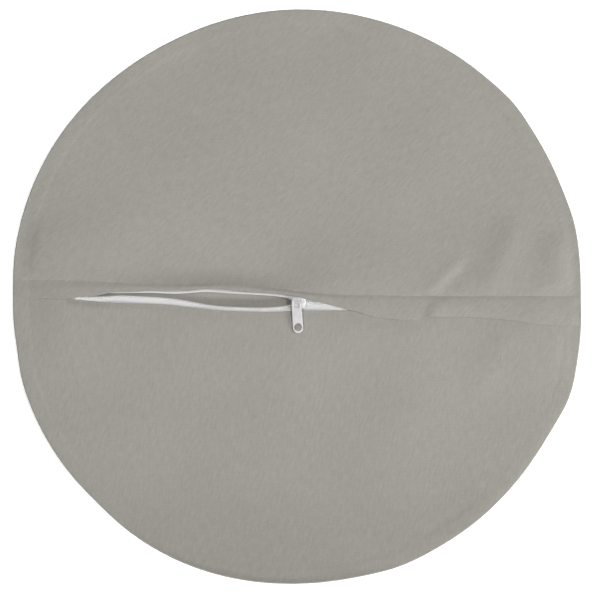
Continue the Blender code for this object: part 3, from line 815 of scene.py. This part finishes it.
def makeTape(name, tips, side, start, end):
    along = np.linspace(start, end, tapeCloth["columns"] + 1)
    edge = through(tapeCloth["edge"], along)
    lift = through(tapeCloth["lift"], along)
    sag = tapeCloth["sag"]
    if side > 0:
        sag = sag + tapeCloth["follow"] * np.maximum(through(backCloth["stitchFall"], along), 0)
    rows = []
    for share in np.linspace(0, 1, tapeCloth["rows"] + 1):
        across = through(edges[tips], along) + side * (edge + (tapeCloth["width"] - edge) * share)
        x, y = zipPlace(along, across)
        level = tapeCloth["level"] + lift * (1 - smooth(share / tapeCloth["liftShare"]))
        level = level - sag * smooth((share - tapeCloth["sagStart"]) / tapeCloth["sagRun"])
        ripple = tapeCloth["ripple"] * np.sin(along / 3.7 + 2.1 * share) * np.sin(along / 11.0 + side)
        rows.append(spots(x, y, level + ripple))
    return sheetPiece(name, np.stack(rows), tapeWeave, tapeCloth["thickness"])


half = zipLine["half"]
tapeEnd = half + tapeCloth["tail"]
zipSides = {"Upper": ("upperTips", 1), "Lower": ("lowerTips", -1)}
tapeSpans = {"Left": (-tapeEnd, zipLine["middle"]), "Right": (zipLine["middle"], tapeEnd)}
tapePieces = {}
tapeAreas = {}
for sideName, (tips, side) in zipSides.items():
    for endName, (start, end) in tapeSpans.items():
        tapeName = "zipTape" + sideName + endName
        tapePieces[tapeName], tapeAreas[tapeName] = makeTape(tapeName, tips, side, start, end)
print("zip tapes made:", {name: round(area, 6) for name, area in tapeAreas.items()})


# Geometry Nodes: coil turns and stitches set out along a line

def newTree(name, labels):  # a line, the named sizes and a material go in
    tree = bpy.data.node_groups.new(name, "GeometryNodeTree")
    sockets = [("Geometry", "INPUT", "Geometry")]
    sockets += [(label, "INPUT", "Float") for label in labels]
    sockets += [("Material", "INPUT", "Material"), ("Geometry", "OUTPUT", "Geometry")]
    for label, way, kind in sockets:
        tree.interface.new_socket(name=label, in_out=way, socket_type="NodeSocket" + kind)
    return tree, tree.nodes.new("NodeGroupInput").outputs


def vector(tree, x, y, z):
    return flow(tree, "ShaderNodeCombineXYZ", {"X": x, "Y": y, "Z": z})


def setOut(tree, source, shape):  # one copy of shape at each step along the line, facing along it
    line = flow(tree, "GeometryNodeMeshToCurve", {"Mesh": source["Geometry"]})
    steps = flow(tree, "GeometryNodeResampleCurve", {"Curve": line, "Length": source["Pitch"]},
                 {"mode": "LENGTH"})
    places = addNode(tree, "GeometryNodeCurveToPoints", {"Curve": steps}, {"mode": "EVALUATED"}).outputs
    facing = flow(tree, "FunctionNodeAlignRotationToVector", {"Vector": places["Tangent"]},
                  {"axis": "X", "pivot_axis": "Z"})
    copies = flow(tree, "GeometryNodeInstanceOnPoints",
                  {"Points": places["Points"], "Instance": shape, "Rotation": facing})
    plain = flow(tree, "GeometryNodeRealizeInstances", {"Geometry": copies})
    painted = flow(tree, "GeometryNodeSetMaterial", {"Geometry": plain, "Material": source["Material"]})
    addNode(tree, "NodeGroupOutput", {"Geometry": painted})
    return tree


def circle(tree, sides, radius):
    inputs = {"Resolution": sides, "Radius": radius}
    return flow(tree, "GeometryNodeCurvePrimitiveCircle", inputs, {"mode": "RADIUS"})


def wireAlong(tree, source, route, sides, caps):
    profile = circle(tree, sides, mathNode(tree, "MULTIPLY", source["Wire"], 0.5))
    inputs = {"Curve": route, "Profile Curve": profile, "Fill Caps": caps}
    return flow(tree, "GeometryNodeCurveToMesh", inputs)


def coilTree():
    tree, source = newTree("coilTurns", ["Pitch", "Width", "Height", "Wire", "Slant"])
    high = mathNode(tree, "MULTIPLY", mathNode(tree, "SUBTRACT", source["Height"], source["Wire"]), 0.5)
    wide = mathNode(tree, "MULTIPLY", mathNode(tree, "SUBTRACT", source["Width"], source["Wire"]), 0.5)
    inputs = {"Geometry": circle(tree, 10, 1.0), "Scale": vector(tree, high, wide, 1.0),
              "Rotation": vector(tree, 0.0, math.pi / 2, source["Slant"])}
    shaped = flow(tree, "GeometryNodeTransform", inputs)
    return setOut(tree, source, wireAlong(tree, source, shaped, 5, False))


def stitchTree():
    tree, source = newTree("stitchRow", ["Pitch", "Length", "Wire", "Rise", "Turn"])
    reach = mathNode(tree, "MULTIPLY", source["Length"], 0.5)
    sink = mathNode(tree, "MULTIPLY", source["Wire"], -0.7)
    back = mathNode(tree, "MULTIPLY", reach, -1.0)
    inputs = {"Resolution": 5, "Start": vector(tree, back, 0.0, sink),
              "Middle": vector(tree, 0.0, 0.0, source["Rise"]), "End": vector(tree, reach, 0.0, sink)}
    bow = flow(tree, "GeometryNodeCurveQuadraticBezier", inputs)
    inputs = {"Geometry": bow, "Rotation": vector(tree, 0.0, 0.0, source["Turn"])}
    shaped = flow(tree, "GeometryNodeTransform", inputs)
    return setOut(tree, source, wireAlong(tree, source, shaped, 6, True))


coilRow = coilTree()
stitchRow = stitchTree()


def alongLine(name, points, tree, values):  # points in millimetres; the result is a plain mesh
    line = bpy.data.meshes.new(name)
    steps = [(step, step + 1) for step in range(len(points) - 1)]
    line.from_pydata((np.array(points) * mm).tolist(), steps, [])
    item = newObject(name, line)
    modifier = item.modifiers.new("row", "NODES")
    modifier.node_group = tree
    for socket in tree.interface.items_tree:
        if socket.in_out == "INPUT" and socket.name in values:
            modifier[socket.identifier] = values[socket.name]
    plainObject(item).data.shade_smooth()
    return item


coil = {
    "level": 7.4,
    "lift": 0.8,  # how much of the tape's lift it takes on
    "endGap": 2.0,
    "steps": 1200,
    "offsets": {"UpperLeft": 0.5, "UpperRight": 0.5, "LowerLeft": 0.0, "LowerRight": 1.0},  # in pitches
    "row": {"Pitch": 1.3 * mm, "Width": 1.9 * mm, "Height": 1.3 * mm, "Wire": 0.80 * mm,
            "Slant": math.radians(20), "Material": coilNylon},
}


def makeCoil(place, tips, side, end):
    start = zipLine["middle"] + coil["offsets"][place] * coil["row"]["Pitch"] / mm * np.sign(end)
    along = np.linspace(start, end, coil["steps"])
    across = through(edges[tips], along)
    slope = np.gradient(across, along)
    lean = 1 / np.hypot(1, slope)
    back = coil["row"]["Width"] / mm / 2
    x, y = zipPlace(along - side * back * slope * lean, across + side * back * lean)
    points = spots(x, y, coil["level"] + coil["lift"] * through(tapeCloth["lift"], along))
    return alongLine("zipCoil" + place, points, coilRow, coil["row"])


coilEnds = {"Left": coil["endGap"] - half, "Right": half - coil["endGap"]}
coilPieces = {}
for sideName, (tips, side) in zipSides.items():
    for endName, end in coilEnds.items():
        coilPieces["zipCoil" + sideName + endName] = makeCoil(sideName + endName, tips, side, end)
print("coil turns set out")


# Sewing

stitches = {
    "row": {"Pitch": cover["stitchPitch"] * mm, "Length": 2.7 * mm, "Wire": 0.26 * mm, "Rise": 0.22 * mm,
            "Turn": 0.0, "Material": coverThread},
    "rim": {"Pitch": 3.0 * mm, "Length": 2.7 * mm, "Wire": 0.3 * mm, "Rise": 0.25 * mm, "Turn": 0.0,
            "Material": coverThread},
    "tack": {"Pitch": 0.26 * mm, "Length": 5.2 * mm, "Wire": 0.3 * mm, "Rise": 0.35 * mm,
             "Turn": math.pi / 2, "Material": tackThread},
    "rowSteps": 400,
    "rimSteps": 1400,
    "tackSteps": 12,
    "rimInset": 0.35,
    "rimLevel": 1.95,
    "tackLevel": 8.0,
    "tackReach": 1.0,
    "tackInset": 3.0,
    "seamReach": 0.18,  # half the cloth, so that a row lies on its top
    "lapInset": 0.7,  # of each row, from the edge it follows
    "lowerInset": -2.0,
    "endInset": -1.0,
    "endStart": 158.0,
    "endStop": 178.0,
}


def sewn(name, kind, x, y, level):
    return alongLine(name, spots(x, y, level), stitchRow, stitches[kind])


def rowOnBack(name, start, end, edge, inset, top):
    along = np.linspace(start, end, stitches["rowSteps"])
    x, y = zipPlace(along, through(edges[edge], along) + inset)
    return sewn(name, "row", x, y, top(x, y) + stitches["seamReach"])


def makeTack(name, middle):
    along = middle + stitches["tackReach"] * np.linspace(-1, 1, stitches["tackSteps"])
    x, y = zipPlace(along, np.zeros_like(along))
    return sewn(name, "tack", x, y, np.full_like(x, stitches["tackLevel"]))


def makeRimRow():
    angle = np.linspace(0, math.tau, stitches["rimSteps"])
    x, y = rimPlace(angle, stitches["rimInset"])
    return sewn("rimSeamStitches", "rim", x, y, np.full_like(x, stitches["rimLevel"]))


endStart = stitches["endStart"]
endStop = stitches["endStop"]
lapRow = rowOnBack("lapStitches", -half, half, "stitch", stitches["lapInset"], upperTop)
lowerRow = rowOnBack("lowerStitches", -half, half, "lower", stitches["lowerInset"], lowerTop)
endRowLeft = rowOnBack("endSeamStitchesLeft", -endStop, -endStart, "lower", stitches["endInset"], lowerTop)
endRowRight = rowOnBack("endSeamStitchesRight", endStart, endStop, "lower", stitches["endInset"], lowerTop)
tackLeft = makeTack("zipEndTackLeft", stitches["tackInset"] - half)
tackRight = makeTack("zipEndTackRight", half - stitches["tackInset"])
rimRow = makeRimRow()
print("stitches sewn")


# Slider and pull tab

slider = {
    "length": 9.7,
    "width": 7.8,
    "nose": 5.8,
    "plate": 0.8,
    "flange": 0.6,
    "flangeDrop": 0.95,  # the top flange hangs down, and the bottom one stands up, by these
    "flangeRise": 0.12,
    "flangeRoot": 0.4,  # how far into its plate a flange goes, as a share
    "topEdge": 0.12,
    "thinEdge": 0.05,
    "bottom": 5.1,
    "top": 9.05,
    "postWidth": 1.4,
    "postLength": 3.6,
    "postTip": 0.14,
    "postShoulder": (0.6, 1.6),
    "edge": 0.28,  # rounding of the plates' edges
    "legAt": -1.8,
    "span": 5.1,
    "wire": 1.0,
    "archAxis": 10.95,
    "archBend": 0.55,
    "footRing": 0.52,
    "footWire": 0.22,
    "footRise": 0.02,
}


def arc(middle, radius, start, end, steps):
    turns = np.radians(np.linspace(start, end, steps + 1))
    return [(middle[0] + radius * math.cos(turn), middle[1] + radius * math.sin(turn)) for turn in turns]


def mirrored(upper):
    return upper + [(x, -y) for x, y in reversed(upper)]


def curveMesh(name, routes, settings, closed):
    curve = bpy.data.curves.new(name, "CURVE")
    for key, value in settings.items():
        setattr(curve, key, value)
    for route in routes:
        spline = curve.splines.new("POLY")
        spline.points.add(len(route) - 1)
        for point, (x, y, z) in zip(spline.points, route):
            point.co = (x * mm, y * mm, z * mm, 1)
        spline.use_cyclic_u = closed
    drawn = newObject(name, curve)
    mesh = workedMesh(drawn)
    bpy.data.objects.remove(drawn)
    bpy.data.curves.remove(curve)
    return mesh


def plateMesh(name, outlines, low, high, edge):  # a flat outline with holes, thick, its edges rounded
    routes = [[(x, y, (low + high) / 2) for x, y in outline] for outline in outlines]
    settings = {"dimensions": "2D", "fill_mode": "BOTH", "bevel_depth": edge * mm, "bevel_resolution": 2,
                "offset": -edge * mm, "extrude": ((high - low) / 2 - edge) * mm}
    return curveMesh(name, routes, settings, True)


def wireMesh(name, route, thickness, closed=False):
    settings = {"dimensions": "3D", "bevel_depth": thickness / 2 * mm, "bevel_resolution": 3,
                "use_fill_caps": not closed}
    return curveMesh(name, [route], settings, closed)


def joinedAt(name, meshes, spot, turn):  # several shells as one object, set in place in its mesh
    work = bmesh.new()
    for mesh in meshes:
        work.from_mesh(mesh)
        bpy.data.meshes.remove(mesh)
    weld(work, weldGap["slider"])
    cosine = math.cos(turn)
    sine = math.sin(turn)
    for corner in work.verts:
        x, y, z = corner.co
        corner.co = (spot[0] * mm + x * cosine - y * sine, spot[1] * mm + x * sine + y * cosine, z)
    mesh = bpy.data.meshes.new(name)
    work.to_mesh(mesh)
    work.free()
    return smoothShade(newObject(name, mesh), 35)


def archRoute():
    left = slider["legAt"]
    right = left + slider["span"]
    axis = slider["archAxis"]
    foot = slider["top"] - slider["plate"] / 2
    bend = slider["archBend"]
    route = [(left, foot)]
    route += arc((left + bend, axis - bend), bend, 180, 90, 6)
    route += arc((right - bend, axis - bend), bend, 90, 0, 6)
    route += [(right, foot)]
    return [(along, 0.0, level) for along, level in route]


def makeSlider():
    end = slider["length"] / 2
    wide = slider["width"] / 2
    nose = slider["nose"] / 2
    edge = slider["edge"]
    plate = slider["plate"]
    top = slider["top"]
    bottom = slider["bottom"]
    root = plate * slider["flangeRoot"]
    shield = mirrored([(-end, wide * 0.45), (-end * 0.97, wide * 0.75), (-end * 0.86, wide * 0.96),
                       (-end * 0.74, wide), (0.0, wide), (end * 0.35, wide * 0.95), (end * 0.8, nose * 1.08),
                       (end * 0.93, nose * 0.95), (end, nose * 0.7)])
    meshes = [plateMesh("topPlate", [shield], top - plate, top, edge),
              plateMesh("bottomPlate", [shield], bottom, bottom + plate, edge)]
    for side in (1, -1):
        flange = [(-end * 0.84, side * wide * 0.97), (0.0, side * wide), (end * 0.35, side * wide * 0.95),
                  (end * 0.92, side * nose)]
        inside = [(x, y - side * slider["flange"]) for x, y in reversed(flange)]
        meshes.append(plateMesh("topFlange", [flange + inside], top - plate - slider["flangeDrop"],
                                top - root, slider["topEdge"]))
        meshes.append(plateMesh("bottomFlange", [flange + inside], bottom + root,
                                bottom + plate + slider["flangeRise"], slider["thinEdge"]))
    start = plate / 2 - end
    post = slider["postWidth"] / 2
    wedge = [(start, post * 0.4)] + [(start + shoulder, post) for shoulder in slider["postShoulder"]]
    wedge = mirrored(wedge + [(start + slider["postLength"], slider["postTip"])])
    meshes.append(plateMesh("post", [wedge], bottom + plate / 2, top - plate / 2, slider["thinEdge"]))
    meshes.append(wireMesh("arch", archRoute(), slider["wire"]))
    foot = arc((0, 0), slider["footRing"], 0, 330, 11)
    for along in (slider["legAt"], slider["legAt"] + slider["span"]):
        ring = [(along + x, y, top + slider["footRise"]) for x, y in foot]
        meshes.append(wireMesh("archFoot", ring, slider["footWire"], closed=True))
    x, y = zipPlace(zipLine["middle"], 0.0)
    item = joinedAt("zipSlider", meshes, (x, y), -zipLine["tilt"])
    return dress(item, whiteEnamel)


tab = {
    "bottom": 9.25,
    "thickness": 1.0,
    "reach": 21.2,
    "neck": 6.5,
    "end": 7.2,
    "sideWall": 1.0,
    "tipWall": 1.6,
    "top": 2.5,
    "bar": 1.3,
    "rail": 1.4,
    "window": 3.3,
    "lean": math.radians(3.9),
    "edge": 0.3,
    "lipGap": 0.42,  # the raised ring round the hole
    "lipWire": 0.3,
    "lipSink": 0.06,
}


def makeTab():
    neck = tab["neck"] / 2
    end = tab["end"] / 2
    corner = tab["bar"]
    top = tab["bottom"] + tab["thickness"]
    outline = arc((neck - corner, tab["top"] - corner), corner, 0, 90, 8)
    outline += arc((corner - neck, tab["top"] - corner), corner, 90, 180, 8)
    outline += arc((0, end - tab["reach"]), end, 180, 360, 30)
    inside = neck - tab["rail"]
    small = tab["rail"] / 2
    high = tab["top"] - tab["bar"]
    low = small - tab["window"]
    window = []
    for x, y, start in ((inside - small, high - small, 0), (small - inside, high - small, 90),
                        (small - inside, low, 180), (inside - small, low, 270)):
        window += arc((x, y), small, start, start + 90, 5)
    bore = end - tab["sideWall"]
    holeMiddle = (0, tab["tipWall"] + bore - tab["reach"])
    hole = arc(holeMiddle, bore, 0, 350, 35)
    meshes = [plateMesh("tabPlate", [outline, window, hole], tab["bottom"], top, tab["edge"])]
    lip = arc(holeMiddle, bore + tab["lipGap"], 0, 350, 35)
    lipRing = [(x, y, top - tab["lipSink"]) for x, y in lip]
    meshes.append(wireMesh("holeLip", lipRing, tab["lipWire"], closed=True))
    x, y = zipPlace(zipLine["middle"] + slider["legAt"], 0.0)
    return dress(joinedAt("pullTab", meshes, (x, y), tab["lean"]), whiteEnamel)


sliderPiece = makeSlider()
tabPiece = makeTab()
print("slider and pull tab made")


# How the pieces move with the frame's bodies, and which of its parts they stand for


staticPieces = {
    "front_panel": frontPiece, "back_upper_panel": upperPiece, "back_lower_panel": lowerPiece,
    "lap_stitch_thread": lapRow, "lower_stitch_thread": lowerRow, "end_seam_thread_left": endRowLeft,
    "end_seam_thread_right": endRowRight, "zip_end_tack_left": tackLeft, "zip_end_tack_right": tackRight,
    "rim_seam_thread": rimRow,
}
for nodeName, piece in staticPieces.items():
    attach(piece, "cover")
    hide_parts(nodeName)
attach(sliderPiece, "slider")
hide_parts("slider_body")
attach(tabPiece, "tab")
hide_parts("pull_tab")


def followSlider(piece, nodeName):  # the piece's place is worked into its mesh, and the frame's part it stands for is hidden
    if "Left" in piece.name:
        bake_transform(piece)
    else:
        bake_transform(piece)
    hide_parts(nodeName)


for piece in (flapLeft, flapRight):
    followSlider(piece, "lap_flap")
for pieceName, piece in tapePieces.items():
    followSlider(piece, "zip_tape_upper" if "Upper" in pieceName else "zip_tape_lower")
for pieceName, piece in coilPieces.items():
    followSlider(piece, "zip_coil_upper" if "Upper" in pieceName else "zip_coil_lower")

print("pieces fitted to the frame")


# Floor, light and camera

stage = {"floor": 6.0, "drop": 0.0002, "white": 0.93, "light": 1.02, "glow": 0.5}


def makeFloor():
    mesh = bpy.data.meshes.new("floor")
    reach = stage["floor"] / 2
    corners = [(-reach, -reach, 0), (reach, -reach, 0), (reach, reach, 0), (-reach, reach, 0)]
    mesh.from_pydata(corners, [], [(0, 1, 2, 3)])
    item = newObject("floor", mesh)
    item.location = (0, 0, -stage["drop"])
    material, tree, shader, place = newFinish("floorPaper", 0.9)
    white = stage["white"]
    shadeBetween(tree, shader, noise(tree, place, 40.0), (white,) * 3, (white * stage["light"],) * 3)
    shader.inputs["Emission Color"].default_value = (1.0, 1.0, 1.0, 1)
    shader.inputs["Emission Strength"].default_value = stage["glow"]
    item.data.materials.append(material)


lights = {
    "left": {"place": (-1.2, 0.25, 2.6), "aim": (-0.12, 0.03, 0), "size": 0.9, "power": 4.22, "spread": 75},
    "right": {"place": (1.2, 0.25, 2.6), "aim": (0.12, 0.03, 0), "size": 0.9, "power": 6.34, "spread": 75},
    "key": {"place": (6.2, -5.6, 3.5), "aim": (0, 0, 0), "size": 3.0, "power": 600.0, "spread": 180},
}
skyStrength = 0.15


def makeLight(name, spec):
    lamp = bpy.data.lights.new(name, "AREA")
    lamp.energy = spec["power"]
    lamp.shape = "DISK"
    lamp.size = spec["size"]
    lamp.spread = math.radians(spec["spread"])
    item = newObject(name, lamp)
    item.location = spec["place"]
    aim = Vector(spec["aim"]) - item.location
    item.rotation_euler = aim.to_track_quat("-Z", "Y").to_euler()


view = {
    "frame": 595,
    "mmPerPixel": 0.696,
    "centre": (0.3, -0.7),
    "distance": 2.2,
    "level": 6.0,
    "sensor": 36.0,
}


def makeCamera():
    eye = bpy.data.cameras.new("photoView")
    width = view["frame"] * view["mmPerPixel"] * mm
    eye.sensor_width = view["sensor"]
    eye.lens = view["sensor"] * view["distance"] / width
    item = newObject("photoView", eye)
    item.location = (view["centre"][0] * mm, view["centre"][1] * mm, view["distance"] + view["level"] * mm)
    bpy.context.scene.camera = item


makeFloor()
for lightName, spec in lights.items():
    makeLight(lightName, spec)
makeCamera()
world = bpy.data.worlds.new("studio")
world.use_nodes = True
world.node_tree.nodes["Background"].inputs["Color"].default_value = (1.0, 1.0, 1.0, 1)
world.node_tree.nodes["Background"].inputs["Strength"].default_value = skyStrength
bpy.context.scene.world = world
bpy.context.scene.view_settings.view_transform = "Standard"
print("stage set")
